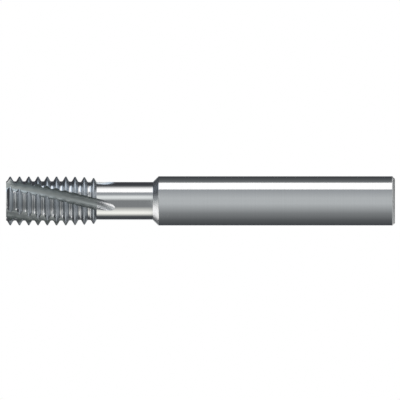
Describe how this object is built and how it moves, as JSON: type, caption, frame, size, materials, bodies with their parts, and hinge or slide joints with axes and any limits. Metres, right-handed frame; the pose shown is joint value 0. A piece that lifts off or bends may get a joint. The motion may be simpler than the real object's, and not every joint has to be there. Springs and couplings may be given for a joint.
{
  "type": "thread mill",
  "caption": "Solid-carbide thread mill with a plain round shank, a reduced neck and a fluted cutting head of full-form tooth rings.",
  "frame": {"origin": "centre of the flat shank end, which the tool stands on", "axes": "+Z along the tool's axis, from the shank end to the cutting tip"},
  "size_m": [0.008, 0.008, 0.063],
  "materials": {
    "carbide": "ground bare carbide"
  },
  "bodies": {
    "root": {"thread_mill": "carbide"}
  },
  "joints": []
}
